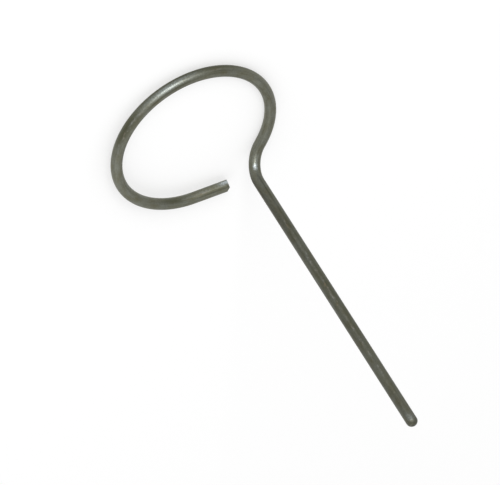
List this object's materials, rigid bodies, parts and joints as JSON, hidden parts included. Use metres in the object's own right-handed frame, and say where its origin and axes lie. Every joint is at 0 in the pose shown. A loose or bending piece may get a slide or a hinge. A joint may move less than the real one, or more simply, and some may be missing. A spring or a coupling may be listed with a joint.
{
  "type": "wire loop tool",
  "caption": "Open round wire loop set square to a straight shank with a domed tip, bent from the same rod. It is held by the shank, and the loop stirs, dips or lifts.",
  "frame": {"origin": "on the shank's axis, where its straight wall ends and the domed tip starts", "axes": "+Z along the shank towards the tip, +Y from the shank across to the loop, +X to the side that the loop's lower edge is on; the loop is at the -Z end"},
  "size_m": [0.0464, 0.0487, 0.0997],
  "materials": {
    "steel_wire": "satin drawn steel with a dull olive-grey oxide, brighter where it was bent"
  },
  "bodies": {
    "root": {"bent_wire": "steel_wire"}
  },
  "joints": []
}
